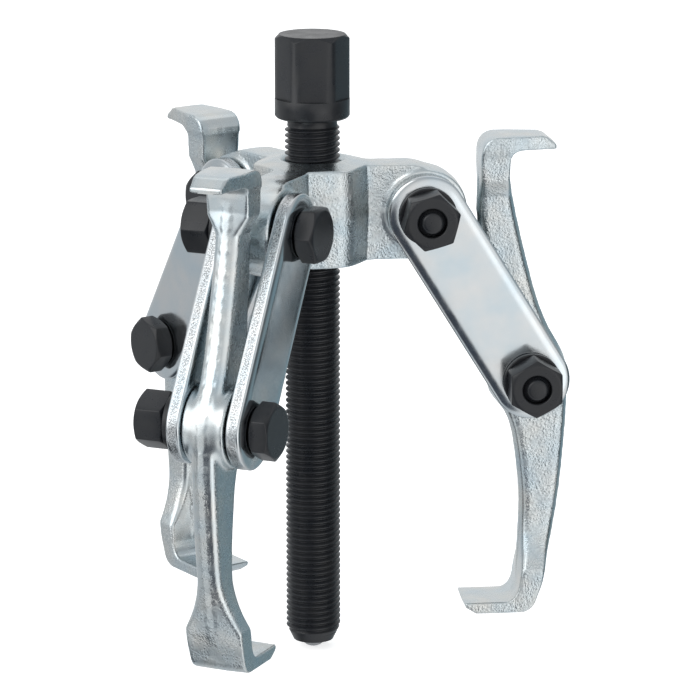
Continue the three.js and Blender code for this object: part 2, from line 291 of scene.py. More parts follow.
def zinc(name, forged):
    """Zinc plating, clear passivated: silver with faint blue and straw tints. Where the vertex
    attribute "skin" is 1, a forging is pebbled and a strip's edge is torn by shearing, and painted
    shade darkens the hollows of the pebbles and tears."""
    material, tree, shader, where = new_material(name)
    tint = noise_at(tree, where, 9.0, 3.0)
    if forged:
        color = ramp_between(tree, tint, (0.52, 0.61, 0.66), (0.67, 0.68, 0.66))
    else:
        color = ramp_between(tree, tint, (0.53, 0.60, 0.64), (0.63, 0.64, 0.64))
    shader.inputs["Metallic"].default_value = 1.0
    skin = tree.nodes.new("ShaderNodeAttribute")
    skin.attribute_name = "skin"
    smudge = noise_at(tree, where, 4.0, 4.0, 0.6)
    if forged:
        tree.links.new(ramp_between(tree, smudge, 0.20, 0.33), shader.inputs["Roughness"])
        pebble = noise_at(tree, where, 0.52)
        # painted shade in the pebbles' hollows
        color = painted_hollow_shade(tree, color, pebble, 0.10, skin.outputs["Fac"])
        grain = noise_at(tree, where, 0.16, 1.0)
        coarse = bump(tree, pebble, 0.21, skin.outputs["Fac"])
        normal = bump(tree, grain, 0.02, 0.4, coarse)
    else:
        tree.links.new(ramp_between(tree, smudge, 0.12, 0.21), shader.inputs["Roughness"])
        wave = noise_at(tree, where, 2.6)
        grain = noise_at(tree, where, 0.3)
        normal = bump(tree, grain, 0.012, 0.3, bump(tree, wave, 0.05, 0.25))
        torn = noise_at(tree, where, 0.26)
        # painted shade in the hollows of the torn edge, strong here
        color = painted_hollow_shade(tree, color, torn, 0.7, skin.outputs["Fac"])
        normal = bump(tree, torn, 0.08, skin.outputs["Fac"], normal)
    tree.links.new(color, shader.inputs["Base Color"])
    tree.links.new(normal, shader.inputs["Normal"])
    return material


def black_oxide(name):
    """Black oxide with a trace of oil, a little browner and duller in patches."""
    material, tree, shader, where = new_material(name)
    patch = noise_at(tree, where, 5.0, 4.0, 0.6)
    color = ramp_between(tree, patch, (0.013, 0.015, 0.019), (0.021, 0.022, 0.024))
    tree.links.new(color, shader.inputs["Base Color"])
    tree.links.new(ramp_between(tree, patch, 0.24, 0.38), shader.inputs["Roughness"])
    shader.inputs["Metallic"].default_value = 0.0
    shader.inputs["Specular IOR Level"].default_value = 0.38
    grain = noise_at(tree, where, 0.25)
    tree.links.new(bump(tree, grain, 0.03, 0.3), shader.inputs["Normal"])
    return material


def ball_steel(name):
    """Hardened bearing steel, dulled by use."""
    material, tree, shader, where = new_material(name)
    patch = noise_at(tree, where, 1.5, 3.0)
    color = ramp_between(tree, patch, (0.30, 0.31, 0.32), (0.42, 0.42, 0.43))
    tree.links.new(color, shader.inputs["Base Color"])
    tree.links.new(ramp_between(tree, patch, 0.28, 0.42), shader.inputs["Roughness"])
    shader.inputs["Metallic"].default_value = 1.0
    return material


def make_materials():
    return {
        "forged_zinc": zinc("zinc_on_forging", forged=True),
        "stamped_zinc": zinc("zinc_on_strip", forged=False),
        "black_oxide": black_oxide("black_oxide_steel"),
        "bright_steel": ball_steel("dull_ball_steel"),
    }


# ---- making pieces ----

def even_angles(count):
    return np.arange(count) * 2 * np.pi / count


def make_piece(name, node_name, verts, faces, place=Matrix(), sharp_degrees=35.0, skin=None):
    """A shown piece that stands for a CAD node. verts are in mm, in the frame given by place."""
    mesh = bpy.data.meshes.new(name)
    mesh.from_pydata((np.asarray(verts) * MM).tolist(), [], [tuple(face) for face in faces])
    mesh.transform(place)
    mesh.polygons.foreach_set("use_smooth", [True] * len(mesh.polygons))
    mesh.set_sharp_from_angle(angle=math.radians(sharp_degrees))
    if skin is not None:
        mesh.attributes.new("skin", "FLOAT", "POINT").data.foreach_set("value", skin)
    mesh.materials.append(MATERIALS[SLOT_OF[node_name]])
    piece = bpy.data.objects.new(name, mesh)
    bpy.context.scene.collection.objects.link(piece)
    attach(piece, BODY_OF[node_name])
    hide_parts(node_name)
    return piece


def place_at(position_mm, x_axis, y_axis, z_axis):
    """The matrix of a frame at position_mm, for verts that are already in metres."""
    turn = Matrix((x_axis, y_axis, z_axis)).transposed().to_4x4()
    return Matrix.Translation(Vector(position_mm) * MM) @ turn


def span(node_name, axis):
    """Lowest and highest coordinate of a CAD node along an axis, in mm."""
    low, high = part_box(node_name)
    return low[axis] / MM, high[axis] / MM


class Rings:
    """A mesh of closed rings of points, each joined to the next."""

    def __init__(self):
        self.verts = []
        self.faces = []

    def ring(self, points):
        """Adds a ring of points and gives their numbers."""
        start = len(self.verts)
        self.verts.extend(tuple(point) for point in points)
        return list(range(start, len(self.verts)))

    def join(self, lower, upper):
        """Faces look outwards if both rings run anticlockwise seen from the upper one's side."""
        count = len(lower)
        for k in range(count):
            after = (k + 1) % count
            self.faces.append((lower[k], lower[after], upper[after], upper[k]))

    def stack(self, rings):
        """Adds rings, each joined to the one before."""
        made = [self.ring(points) for points in rings]
        for lower, upper in zip(made, made[1:]):
            self.join(lower, upper)
        return made

    def close(self, ring, middle, upwards):
        """A fan from the ring to a middle point."""
        centre = len(self.verts)
        self.verts.append(tuple(middle))
        count = len(ring)
        for k in range(count):
            after = (k + 1) % count
            pair = (ring[k], ring[after]) if upwards else (ring[after], ring[k])
            self.faces.append((*pair, centre))


# ---- forgings: a field that is negative inside, and a net of faces round it ----

def outline_distance(x, y, outline):
    """Distance from each point to a closed outline, negative inside it."""
    nearest = np.full(np.broadcast(x, y).shape, np.inf)
    inside = np.zeros(nearest.shape, bool)
    for (ax, ay), (bx, by) in zip(outline, np.roll(outline, -1, axis=0)):
        ex, ey = bx - ax, by - ay
        wx, wy = x - ax, y - ay
        along = np.clip((wx * ex + wy * ey) / (ex * ex + ey * ey), 0, 1)
        nearest = np.minimum(nearest, (wx - ex * along) ** 2 + (wy - ey * along) ** 2)
        if ey:
            inside ^= ((ay > y) != (by > y)) & (wx < ex * wy / ey)
    return np.where(inside, -1, 1) * np.sqrt(nearest)


def soft_max(a, b, radius):
    """The larger of two fields, with the edge between them rounded off."""
    blend = np.maximum(radius - np.abs(a - b), 0) / radius
    return np.maximum(a, b) + blend * blend * radius / 4


def soft_min(a, b, radius):
    """The smaller of two fields, with the corner between them filled."""
    return -soft_max(-a, -b, radius)


def smooth_step(value, start, end):
    """0 up to start and 1 from end on, with a smooth rise between them."""
    t = np.clip((value - start) / (end - start), 0, 1)
    return t * t * (3 - 2 * t)


def surface_net(values, low, step):
    """Points and quads of the surface where a grid of values changes sign, facing positive values."""
    shape = np.array(values.shape)
    totals = np.zeros((values.size, 3))
    counts = np.zeros(values.size)
    quads = []
    for axis in range(3):
        first = [slice(None)] * 3
        second = [slice(None)] * 3
        first[axis] = slice(0, -1)
        second[axis] = slice(1, None)
        before, after = values[tuple(first)], values[tuple(second)]
        crossing = (before < 0) != (after < 0)
        start = np.argwhere(crossing)
        point = start.astype(float)
        point[:, axis] += before[crossing] / (before[crossing] - after[crossing])
        side_a, side_b = [k for k in range(3) if k != axis]
        around = []
        for back_a, back_b in ((0, 0), (1, 0), (1, 1), (0, 1)):
            cell = start.copy()
            cell[:, side_a] -= back_a
            cell[:, side_b] -= back_b
            index = np.ravel_multi_index(cell.T, shape)
            around.append(index)
            counts += np.bincount(index, minlength=values.size)
            for k in range(3):
                totals[:, k] += np.bincount(index, point[:, k], minlength=values.size)
        faces = np.column_stack(around)
        flip = (before[crossing] < 0) == (axis == 1)
        faces[flip] = faces[flip][:, ::-1]
        quads.append(faces)
    used = counts > 0
    number = np.cumsum(used) - 1
    points = totals[used] / counts[used][:, None] * step + np.asarray(low)
    return points, number[np.concatenate(quads)]


def grid(low, high, step):
    """Coordinates of a grid over a box, as three arrays that broadcast together."""
    axes = [np.arange(a, b + step, step) for a, b in zip(low, high)]
    return np.meshgrid(*axes, indexing="ij", sparse=True)


def curve(points, steps=5):
    """Points along a smooth curve through the given ones, without the first."""
    points = [np.array(point, float) for point in points]
    ends = [2 * points[0] - points[1], *points, 2 * points[-1] - points[-2]]
    out = []
    for p0, p1, p2, p3 in zip(ends, ends[1:], ends[2:], ends[3:]):
        for step in range(1, steps + 1):
            t = step / steps
            square = (2 * p0 - 5 * p1 + 4 * p2 - p3) * t * t
            cube = (3 * p1 - p0 - 3 * p2 + p3) * t ** 3
            out.append(0.5 * (2 * p1 + (p2 - p0) * t + square + cube))
    return out


def fillet(start, corner, end, steps=5):
    """A rounded corner from start to end, pulled towards corner, without the start."""
    start, corner, end = (np.array(point, float) for point in (start, corner, end))
    spots = [step / steps for step in range(1, steps + 1)]
    return [(1 - t) ** 2 * start + 2 * t * (1 - t) * corner + t * t * end for t in spots]


def ripple(points, size_mm, depth_mm, seed):
    """The slow unevenness of a forged skin: a shift for each point, in mm."""
    offset = Vector((seed, 2 * seed, 3 * seed))
    return np.array([noise.noise(Vector(point) / size_mm + offset) for point in points]) * depth_mm


def normals_of(points, quads):
    """Outward direction at each point of a net of quads."""
    corners = points[quads]
    face = np.cross(corners[:, 2] - corners[:, 0], corners[:, 3] - corners[:, 1])
    total = np.zeros_like(points)
    for k in range(4):
        np.add.at(total, quads[:, k], face)
    return total / np.maximum(np.linalg.norm(total, axis=1), 1e-9)[:, None]


# ---- jaws ----

JAW_EYE_RADIUS = 10.0
JAW_EYE_HALF_WIDTH = 5.5
JAW_WEB_HALF_WIDTH = 3.4
JAW_HOOK_HALF_WIDTH = span("jaw_1", 1)[1]
JAW_TOP_HALF_WIDTH = 6.25
JAW_BAND = 1.25  # half width of the trimmed flash band along the jaw's edges
JAW_DRAFT = 0.17  # slope of the edges' faces, away from the hooks
JAW_HOOK_DRAFT = 0.02
JAW_ROUNDING = 0.5  # radius of the hooks' edges
JAW_WEB_ROUNDING = 1.6  # and how much rounder the web's are
WEB_BOTTOM = (-57, -44)  # height above the pivot over which the lower hook becomes the web
WEB_TOP = (44, 56)  # and the web the upper hook
FLASH_HEIGHT = 0.22  # what trimming leaves of the forging's flash, a flat band along the edges
BOLT_HOLE_RADIUS = 4.3
FORGING_STEP = 0.36
HOOK_FACE = -59.5
HOOK_BOTTOM = -62.8
TOP_FACE = 62.6
TOP_UNDERSIDE = 58.8


def jaw_outline():
    """The jaw seen from the side, X outwards and Y up from its pivot."""
    points = [(6.8, TOP_FACE - 2.5), (4.2, TOP_FACE - 0.4), (2.8, TOP_FACE), (-8.6, TOP_FACE)]
    points += fillet(points[-1], (-12.4, TOP_FACE - 0.6), (-12.7, 57.8))
    points += [(-12.9, 43)]
    points += curve([points[-1], (-11.5, 30), (-10.3, 16), (-10.1, 2), (-9.2, -4.6)])
    points += curve([points[-1], (-4.4, -12), (-2.3, -22.3), (-1.3, -36), (-2.3, -55.5)])
    points += fillet(points[-1], (-3.0, HOOK_FACE), (-6, HOOK_FACE))
    points += [(-16.6, HOOK_FACE), (-16.2, -61), (-13.4, HOOK_BOTTOM), (-1.4, HOOK_BOTTOM)]
    points += fillet(points[-1], (1.2, -62.4), (2.2, -60))
    points += curve([points[-1], (5.4, -50), (8.4, -32.4), (10, -14.7), (10.4, -5)])
    points += curve([points[-1], (9.2, 4.6), (4.9, 13), (1.8, 21.3), (-1.6, 34.3)])
    points += curve([points[-1], (-3.8, 44.3), (-5.1, 52.3)])
    points += [(-5.1, 55.6)]
    points += fillet(points[-1], (-5, TOP_UNDERSIDE), (-1.8, TOP_UNDERSIDE))
    points += [(6.8, TOP_UNDERSIDE)]
    return np.array([tuple(point) for point in points])


def jaw_half_width(x, z):
    """Half the jaw's width across its plane: broad hooks and a narrow web."""
    lower = smooth_step(-z, 35, 60) * 0.35 + np.clip((-z - 38) / 13.5, 0, 1) ** 1.7 * 0.65
    lower = np.minimum(lower / 0.87, 1)
    taper = 0.35 * np.clip((-z - 52) / 10, 0, 1)
    upper = np.clip((z - 46.6) / 4.6, 0, 1) * 0.8 + smooth_step(z, 56.5, 58.8) * 0.2
    narrow = 1.9 * smooth_step(x, -6, 6.8) * smooth_step(z, 52, 56)
    width = JAW_WEB_HALF_WIDTH + (JAW_HOOK_HALF_WIDTH - JAW_WEB_HALF_WIDTH) * lower - taper
    return width + (JAW_TOP_HALF_WIDTH - JAW_WEB_HALF_WIDTH) * upper - narrow


def on_web(z):
    """1 on the jaw's web and 0 on its hooks."""
    return smooth_step(z, *WEB_BOTTOM) * (1 - smooth_step(z, *WEB_TOP))


def jaw_field(x, y, z):
    """The jaw's solid as a field: X outwards, Y across its plane and Z up from its pivot."""
    across = np.abs(y)
    draft = JAW_HOOK_DRAFT + (JAW_DRAFT - JAW_HOOK_DRAFT) * on_web(z)
    edge = outline_distance(x, z, jaw_outline()) + draft * np.maximum(across - JAW_BAND, 0)
    uneven = 0.25 * np.sin(z * 1.7) * np.sin(z * 0.61 + 1.0)
    flash = FLASH_HEIGHT * (1 - smooth_step(across + uneven, 0.8, 1.5))
    edge = edge - flash * smooth_step(z, -57, -50) * (1 - smooth_step(z, 50, 56))
    rounding = JAW_ROUNDING + JAW_WEB_ROUNDING * on_web(z)
    body = soft_max(edge, across - jaw_half_width(x, z), rounding)
    from_pivot = np.sqrt(x * x + z * z)
    eye = soft_max(from_pivot - JAW_EYE_RADIUS, across - JAW_EYE_HALF_WIDTH, 0.6)
    body = soft_min(body, eye, 1.4)
    return soft_max(body, BOLT_HOLE_RADIUS - from_pivot, 0.5)


def jaw_skin(points, normals):
    """How pebbled each point is. The flat sides are, and the outer faces of the hooks and the
    trimmed band are in part, but not the drafted rims, the eye and the machined hook faces. The
    same share sets how much painted shade the pebbles' hollows get."""
    x, y, z = points.T
    low_web = smooth_step(z, -50, -38) * (1 - smooth_step(z, -12, -4))
    torn = 0.3 * np.sin(z * 1.3) * np.sin(z * 0.47 + 2.0)
    # the band's share is raised on the lower web, which deepens its pebbles and the painted shade in their
    # hollows
    band = (0.1 + 0.6 * low_web) * (1 - smooth_step(np.abs(y) + torn, 1.2, 1.8))
    hook = 0.6 * smooth_step(-z, 34, 46) * smooth_step(normals[:, 0], 0.5, 0.85)
    skin = np.maximum(smooth_step(np.abs(normals[:, 1]), 0.72, 0.97), np.maximum(band, hook))
    lower_face = (z < HOOK_FACE + 0.4) & (normals[:, 2] > 0.8)
    upper_bevel = (z > TOP_FACE - 3) & (normals[:, 0] > 0.25)
    skin = np.where(lower_face | upper_bevel, 0.0, skin)
    return np.minimum(skin, 0.15 + 0.85 * off_eye(points))


def off_eye(points):
    """0 on the machined faces round the pivot's hole and 1 outside them."""
    return smooth_step(np.hypot(points[:, 0], points[:, 2]), 9.0, 11.0)


def jaw_mesh():
    low = (-18.5, -JAW_HOOK_HALF_WIDTH - 1, HOOK_BOTTOM - 1.5)
    high = (12, JAW_HOOK_HALF_WIDTH + 1, TOP_FACE + 1.5)
    x, y, z = grid(low, high, FORGING_STEP)
    points, quads = surface_net(jaw_field(x, y, z), low, FORGING_STEP)
    normals = normals_of(points, quads)
    skin = jaw_skin(points, normals)
    uneven = ripple(points, 2.4, 0.05, 5.0) * (0.3 + 0.7 * skin) * off_eye(points)
    return points + normals * uneven[:, None], quads, skin


def make_jaws():
    points, quads, skin = jaw_mesh()
    for arm in ARMS:
        pivot = Vector(JOINTS[f"jaw_{arm}_tilt"]["pos_m"]) / MM
        across = Vector(JOINTS[f"jaw_{arm}_tilt"]["axis"])
        up = Vector(MOUNTS[f"lower_hook_{arm}_face"]["axis"])
        place = place_at(pivot, across.cross(up), across, up)
        make_piece(f"jaw_{arm}_forging", f"jaw_{arm}", points, quads, place, 50.0, skin)


# ---- yoke ----

YOKE_HALF_HEIGHT = 12.4
YOKE_HUB_RISE = 1.2
YOKE_ARM_HALF_WIDTH = 5.5
YOKE_END_RADIUS = 11.0
YOKE_SLOPE_START = 26.3
YOKE_BORE_RADIUS = 7.3
YOKE_DRAFT = 0.055
HUB_FACE_DISTANCE = 14.5
HUB_FACE_AZIMUTH = math.radians(32.5)
HUB_CORNER_RADIUS = 5.6
PIVOT_RADIUS = JOINTS["link_1_swing"]["pos_m"][0] / MM
PIVOT_HEIGHT = JOINTS["link_1_swing"]["pos_m"][2] / MM


def yoke_plan():
    """The yoke seen from above: three arms, and a two-faced hub wall between each two of them."""
    third = 2 * math.pi / 3
    across = YOKE_ARM_HALF_WIDTH
    root = (HUB_FACE_DISTANCE - across * math.sin(HUB_FACE_AZIMUTH)) / math.cos(HUB_FACE_AZIMUTH)
    end = PIVOT_RADIUS + 2 * YOKE_END_RADIUS
    reach = (HUB_FACE_DISTANCE - HUB_CORNER_RADIUS) / math.cos(third / 2 - HUB_FACE_AZIMUTH)
    corner = np.array((math.cos(third / 2), math.sin(third / 2))) * reach
    local = [(root, -across), (end, -across), (end, across), (root, across)]
    for angle in np.linspace(HUB_FACE_AZIMUTH, third - HUB_FACE_AZIMUTH, 9):
        local.append(corner + HUB_CORNER_RADIUS * np.array((math.cos(angle), math.sin(angle))))
    local = np.array([tuple(point) for point in local])
    arms = []
    for turn in (0, third, 2 * third):
        sine, cosine = math.sin(turn), math.cos(turn)
        arms.append(local @ np.array(((cosine, sine), (-sine, cosine))))
    return np.concatenate(arms)


def yoke_side():
    """Upper half of the yoke's side profile, mirrored: distance from the axis against height."""
    arc = [
        (PIVOT_RADIUS + YOKE_END_RADIUS * math.cos(a), YOKE_END_RADIUS * math.sin(a))
        for a in np.linspace(0, math.radians(64), 8)
    ]
    slope_top = np.array((YOKE_SLOPE_START, YOKE_HALF_HEIGHT))
    bend_start = slope_top + (arc[-1] - slope_top) * 0.3
    upper = arc + [bend_start] + fillet(bend_start, slope_top, slope_top - (2, 0))
    hub_top = YOKE_HALF_HEIGHT + YOKE_HUB_RISE
    upper += [(HUB_FACE_DISTANCE + 2, YOKE_HALF_HEIGHT)]
    upper += fillet(upper[-1], (HUB_FACE_DISTANCE - 1, YOKE_HALF_HEIGHT), (9, hub_top))
    upper += [(-5, hub_top)]
    upper = np.array([tuple(point) for point in upper])
    return np.concatenate([upper, upper[:0:-1] * (1, -1)])


def along_arm(arm, x, y):
    """Distance of points past an arm's pivot, and aside from the arm's middle plane."""
    outwards = (Vector(JOINTS[f"link_{arm}_swing"]["pos_m"]) / MM).xy.normalized()
    return x * outwards.x + y * outwards.y - PIVOT_RADIUS, np.abs(x * outwards.y - y * outwards.x)


def yoke_field(x, y, z):
    """The yoke's solid as a field, with its middle at the pivots' height."""
    plan = outline_distance(x, y, yoke_plan())
    walls = plan + YOKE_DRAFT * np.abs(z)
    crown = 0.25 * np.clip(1 + plan / YOKE_ARM_HALF_WIDTH, 0, 1) ** 2
    from_axis = np.sqrt(x * x + y * y)
    body = soft_max(walls, outline_distance(from_axis, z, yoke_side()) + crown, 0.45)
    for arm in ARMS:
        along, across = along_arm(arm, x, y)
        from_pivot = np.sqrt(along * along + z * z)
        boss = soft_max(from_pivot - YOKE_END_RADIUS + 0.3, across - YOKE_ARM_HALF_WIDTH, 0.6)
        body = soft_min(body, boss, 0.8)
        hole = np.maximum(from_pivot - BOLT_HOLE_RADIUS, -along - PIVOT_RADIUS / 2)
        body = soft_max(body, -hole, 0.4)
    bore = YOKE_BORE_RADIUS + np.maximum(np.abs(z) - (YOKE_HALF_HEIGHT + 0.1), 0)
    return soft_max(body, bore - from_axis, 0.4)


def make_yoke():
    reach = PIVOT_RADIUS + YOKE_END_RADIUS + 1.5
    height = YOKE_HALF_HEIGHT + YOKE_HUB_RISE + 1
    low, high = (-reach, -reach, -height), (reach, reach, height)
    field = yoke_field(*grid(low, high, FORGING_STEP))
    points, quads = surface_net(field, low, FORGING_STEP)
    normals = normals_of(points, quads)
    # the walls are pebbled and get painted shade in their hollows, the top and bottom less, and the bore
    # and the arms' bearing faces not
    x, y, z = points.T
    wall = 1 - smooth_step(np.abs(normals[:, 2]), 0.4, 0.8)
    in_bore = 1 - smooth_step(np.hypot(x, y), YOKE_BORE_RADIUS, YOKE_BORE_RADIUS + 1.5)
    to_pivot = np.min([np.hypot(along_arm(arm, x, y)[0], z) for arm in ARMS], axis=0)
    bearing = 1 - smooth_step(to_pivot, 10.6, 12.0)
    skin = np.clip(0.25 + 0.75 * wall - in_bore - 0.75 * bearing, 0, 1)
    uneven = ripple(points, 2.6, 0.06, 9.0) * (1 - in_bore)
    points = points + normals * uneven[:, None]
    place = place_at((0, 0, PIVOT_HEIGHT), (1, 0, 0), (0, 1, 0), (0, 0, 1))
    make_piece("yoke_forging", "yoke", points, quads, place, 50.0, skin)


# ---- straps and washers ----

STRAP_IN, STRAP_OUT = (-edge for edge in span("strap_1_nut_side", 1)[::-1])
WASHER_IN, WASHER_OUT = (-edge for edge in span("upper_washer_1", 1)[::-1])
NUT_IN, NUT_OUT = (-edge for edge in span("upper_nut_1", 1)[::-1])
BOLT_TIP, HEAD_TOP = -span("upper_bolt_1", 1)[0], span("upper_bolt_1", 1)[1]
STRAP_END_RADIUS = 10.0
STRAP_RIM, STRAP_ROLL = 0.95, 3.1  # depth of the rolled rim, and its width as a multiple of that
STRAP_HOLE_RIM = 0.3


def stadium(radius, length, per_end=40):
    """A round-ended strip outline from (0, 0) down to (0, -length), anticlockwise."""
    upper = np.linspace(0, math.pi, per_end)
    lower = upper + math.pi
    top = np.column_stack([radius * np.cos(upper), radius * np.sin(upper)])
    bottom = np.column_stack([radius * np.cos(lower), radius * np.sin(lower) - length])
    return np.concatenate([top, bottom])


def level_ring(points, height):
    """Points of a plane lifted to a height."""
    return np.column_stack([points, np.full(len(points), height)])


def plate(outer, holes, low, high, rim, hole_rim, roll=1.0):
    """A plate between two heights with rounded rims, roll times as wide as they are deep. outer and
    holes are functions of an inset."""
    mesh = Rings()
    caps = {low: [], high: []}
    for loop, rounding, is_hole in [(outer, rim, False)] + [(hole, hole_rim, True) for hole in holes]:
        quarter = np.linspace(0, math.pi / 2, 9)
        wide = rounding * (1.0 if is_hole else roll)
        profile = [(1.5 * wide, low)]
        profile += [(wide * (1 - math.sin(a)), low + rounding * (1 - math.cos(a))) for a in quarter]
        walls = [(0.0, low + (high - low) * share) for share in (0.35, 0.5, 0.65)]
        profile += walls + [(inset, low + high - height) for inset, height in profile[::-1]]
        rings = [level_ring(loop(inset), height) for inset, height in profile]
        if is_hole:
            rings = [ring[::-1] for ring in rings]
        made = mesh.stack(rings)
        caps[low].append(made[0])
        caps[high].append(made[-1])
    for height, loops in caps.items():
        flat = [[Vector((*mesh.verts[k][:2], 0)) for k in loop] for loop in loops]
        order = [k for loop in loops for k in loop]
        for triangle in geometry.tessellate_polygon(flat):
            a, b, c = (Vector(mesh.verts[order[k]][:2]) for k in triangle)
            upwards = (b - a).cross(c - a) > 0
            corners = triangle if upwards == (height == high) else triangle[::-1]
            mesh.faces.append(tuple(order[k] for k in corners))
    return mesh


def round_hole(x, y, radius, count=40):
    """A circle as a function of an inset that widens it."""
    angles = even_angles(count)
    ring = np.column_stack([np.cos(angles), np.sin(angles)])
    return lambda inset: ring * (radius + inset) + (x, y)


def lying(verts, side):
    """Turns a mesh drawn in X and Y with its height in Z to stand in the arm's plane. side is -1
    for the nuts' side, where height runs towards -Y, and +1 for the bolt heads' side."""
    x, y, z = np.asarray(verts).T
    return np.column_stack([x, side * z, y])


def oriented(faces, side):
    """Turning onto the +Y side mirrors a mesh, so its faces run the other way."""
    return faces if side < 0 else [tuple(face)[::-1] for face in faces]


def link_place(arm):
    """The straps' frame: at the upper pivot, -Z towards the lower one, Y towards the bolt heads."""
    upper = Vector(JOINTS[f"link_{arm}_swing"]["pos_m"]) / MM
    lower = Vector(JOINTS[f"jaw_{arm}_tilt"]["pos_m"]) / MM
    up = (upper - lower).normalized()
    across = Vector(JOINTS[f"jaw_{arm}_tilt"]["axis"])
    return place_at(upper, across.cross(up), across, up)


def make_straps():
    upper = Vector(JOINTS["link_1_swing"]["pos_m"])
    length = (upper - Vector(JOINTS["jaw_1_tilt"]["pos_m"])).length / MM
    holes = [round_hole(0, 0, BOLT_HOLE_RADIUS), round_hole(0, -length, BOLT_HOLE_RADIUS)]

    def outer(inset):
        return stadium(STRAP_END_RADIUS - inset, length)

    mesh = plate(outer, holes, STRAP_IN, STRAP_OUT, STRAP_RIM, STRAP_HOLE_RIM, STRAP_ROLL)
    middle, half = (STRAP_IN + STRAP_OUT) / 2, (STRAP_OUT - STRAP_IN) / 2
    # 1 on the strip's sheared edge and 0 on its faces: there the edge is torn, with painted shade in its
    # hollows
    skin = 1 - smooth_step(np.abs(np.array(mesh.verts)[:, 2] - middle), half - 1.1, half - 0.9)
    for arm in ARMS:
        for name, side in (("nut_side", -1), ("head_side", 1)):
            verts = lying(mesh.verts, side)
            faces = oriented(mesh.faces, side)
            node_name = f"strap_{arm}_{name}"
            make_piece(f"{node_name}_plate", node_name, verts, faces, link_place(arm), 40.0, skin)


# ---- bolts, nuts and collars ----

BOLT_HEX_HALF = 6.5
BOLT_RADIUS = 4.0
HEX_CORNER_ROUND = 0.45
CHAMFER_SLOPE = math.tan(math.radians(28))
# angle of a hexagon corner from the arm's outward direction: upper bolt, lower bolt
HEX_CORNERS = {1: (75.6, 90), 2: (0, 90), 3: (20, 75)}


def hex_outline(half_width, corner_round, per_side=7, per_corner=5):
    """A hexagon with rounded corners, one corner towards +X: radius and angle of each point."""
    points = []
    reach = (half_width - corner_round) / math.cos(math.pi / 6)
    for corner in range(6):
        turn = corner * math.pi / 3
        middle = np.array((math.cos(turn), math.sin(turn))) * reach
        sweep = np.linspace(turn - math.pi / 6, turn + math.pi / 6, per_corner)
        arc = [middle + corner_round * np.array((math.cos(a), math.sin(a))) for a in sweep]
        following = turn + math.pi / 3
        next_middle = np.array((math.cos(following), math.sin(following))) * reach
        next_start = next_middle + corner_round * np.array((math.cos(sweep[-1]), math.sin(sweep[-1])))
        points += arc
        points += [arc[-1] + (next_start - arc[-1]) * k / per_side for k in range(1, per_side)]
    points = np.array([tuple(point) for point in points])
    return np.hypot(*points.T), np.arctan2(points[:, 1], points[:, 0])


def chamfered_end(radii, angles, height, face_radius, slope, outwards):
    """Rings from a hexagon's walls over its turned chamfer to a round flat face at height.
    outwards is 1 where the face looks up and -1 where it looks down."""
    drop = np.maximum(radii - face_radius, 0) * slope
    unit = np.column_stack([np.cos(angles), np.sin(angles)])

    def ring(radius, below):
        return np.column_stack([unit * radius[:, None], height - outwards * below])

    ease = 0.12
    inner = np.minimum(radii, face_radius)
    flat = np.zeros(len(angles))
    return [
        ring(radii, drop + 1.6 * ease),
        ring(radii - 0.25 * ease, drop + 0.6 * ease),
        ring(radii - ease, np.maximum(drop - 0.2 * ease, 0.5 * ease)),
        ring(inner + 0.2 * ease, np.full(len(angles), 0.3 * ease)),
        ring(inner - ease, flat),
        ring(inner - 5 * ease, flat),
    ]


def around(radius, angles, height):
    """Points round the Z axis. radius and height are numbers or have one value for each angle."""
    heights = np.broadcast_to(height, angles.shape)
    return np.column_stack([radius * np.cos(angles), radius * np.sin(angles), heights])


def turned_rings(profile, angles):
    """Rings of a turned shape from its radii and heights."""
    return [around(radius, angles, height) for radius, height in profile]


def bolt_mesh():
    """A hexagon bolt along Z: its head at the top, its end at the bottom, Z = 0 at mid-joint. The
    end is a turned dome on a chamfer."""
    radii, angles = hex_outline(BOLT_HEX_HALF, HEX_CORNER_ROUND)
    seat = STRAP_OUT + 0.3
    washer_face = [(BOLT_RADIUS + 0.2, seat), (6.0, seat), (6.1, seat + 0.1), (6.1, seat + 0.35)]
    dome = [(1.7, 0.0), (2.2, 0.08), (2.5, 0.25), (2.7, 0.55), (2.8, 1.5), (3.85, 2.3), (BOLT_RADIUS, 2.6)]
    end = [(radius, -BOLT_TIP + height) for radius, height in dome] + [(BOLT_RADIUS, seat - 0.2)]
    mesh = Rings()
    lower = turned_rings(end + washer_face, angles)
    underside = chamfered_end(radii, angles, seat + 0.35, 6.3, CHAMFER_SLOPE, -1)[::-1]
    top = chamfered_end(radii, angles, HEAD_TOP, 6.25, CHAMFER_SLOPE, 1)
    made = mesh.stack(lower + underside + top)
    dish = turned_rings([(3.0, HEAD_TOP)], angles)[0]
    inner = mesh.ring(dish)
    mesh.join(made[-1], inner)
    mesh.close(inner, (0, 0, HEAD_TOP), True)
    mesh.close(made[0], (0, 0, -BOLT_TIP - 0.02), False)
    return mesh


def nut_mesh():
    """A hexagon nut along Z, from NUT_IN to NUT_OUT, with a countersunk hole."""
    radii, angles = hex_outline(BOLT_HEX_HALF, HEX_CORNER_ROUND)
    hole = BOLT_RADIUS + 0.15
    inside = [(hole, NUT_OUT - 2.0), (hole, NUT_IN + 0.5), (hole + 0.4, NUT_IN)]
    mouth = [(3.95, NUT_OUT), (3.8, NUT_OUT - 0.1), (3.72, NUT_OUT - 0.3), (3.72, NUT_OUT - 1.2)]
    bottom = chamfered_end(radii, angles, NUT_IN, 6.2, CHAMFER_SLOPE, -1)[::-1]
    top = chamfered_end(radii, angles, NUT_OUT, 6.3, CHAMFER_SLOPE, 1)
    mesh = Rings()
    made = mesh.stack(bottom + top + turned_rings(mouth + inside, angles))
    mesh.join(made[-1], made[0])
    return mesh


def turned_about_axis(verts, degrees):
    """Points turned round the Z axis."""
    turn = math.radians(degrees)
    x, y, z = np.asarray(verts).T
    return np.column_stack([
        x * math.cos(turn) - y * math.sin(turn),
        x * math.sin(turn) + y * math.cos(turn),
        z,
    ])


